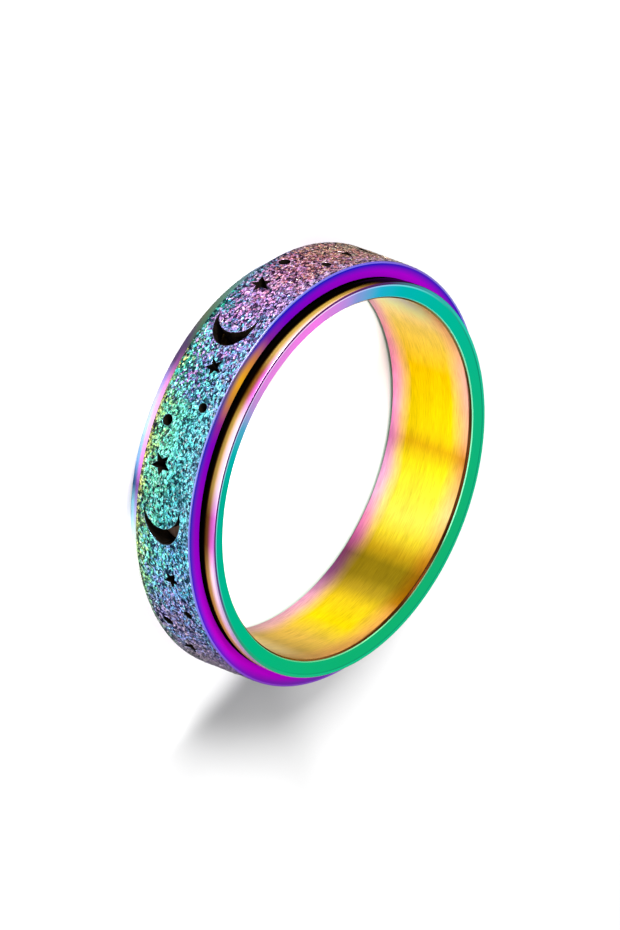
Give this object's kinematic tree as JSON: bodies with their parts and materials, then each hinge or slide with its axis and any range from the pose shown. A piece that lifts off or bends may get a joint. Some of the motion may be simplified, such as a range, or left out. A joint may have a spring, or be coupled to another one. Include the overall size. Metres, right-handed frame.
{
  "type": "spinner ring",
  "caption": "Finger ring with a pierced outer band of stars, dots and crescents that spins between two flared lips.",
  "frame": {"origin": "on the ring's axis, at the height of the side face that the ring lies on", "axes": "+Z along the ring's axis, up out of the surface that it lies on; +X and +Y across the ring"},
  "size_m": [0.024, 0.024, 0.006],
  "materials": {
    "inner_band": "stainless steel with a rainbow interference coating, mirror polished lips, bore brushed round its axis",
    "spinner_band": "stainless steel with a rainbow interference coating, sandblasted outer face, polished side faces"
  },
  "bodies": {
    "inner_band": {"inner_band": "inner_band"},
    "spinner_band": {"spinner_band": "spinner_band"}
  },
  "joints": [
    {"name": "band_spin", "type": "hinge", "parent": "inner_band", "child": "spinner_band", "pos_m": [0, 0, 0.003], "axis": [0, 0, 1], "continuous": true}
  ]
}
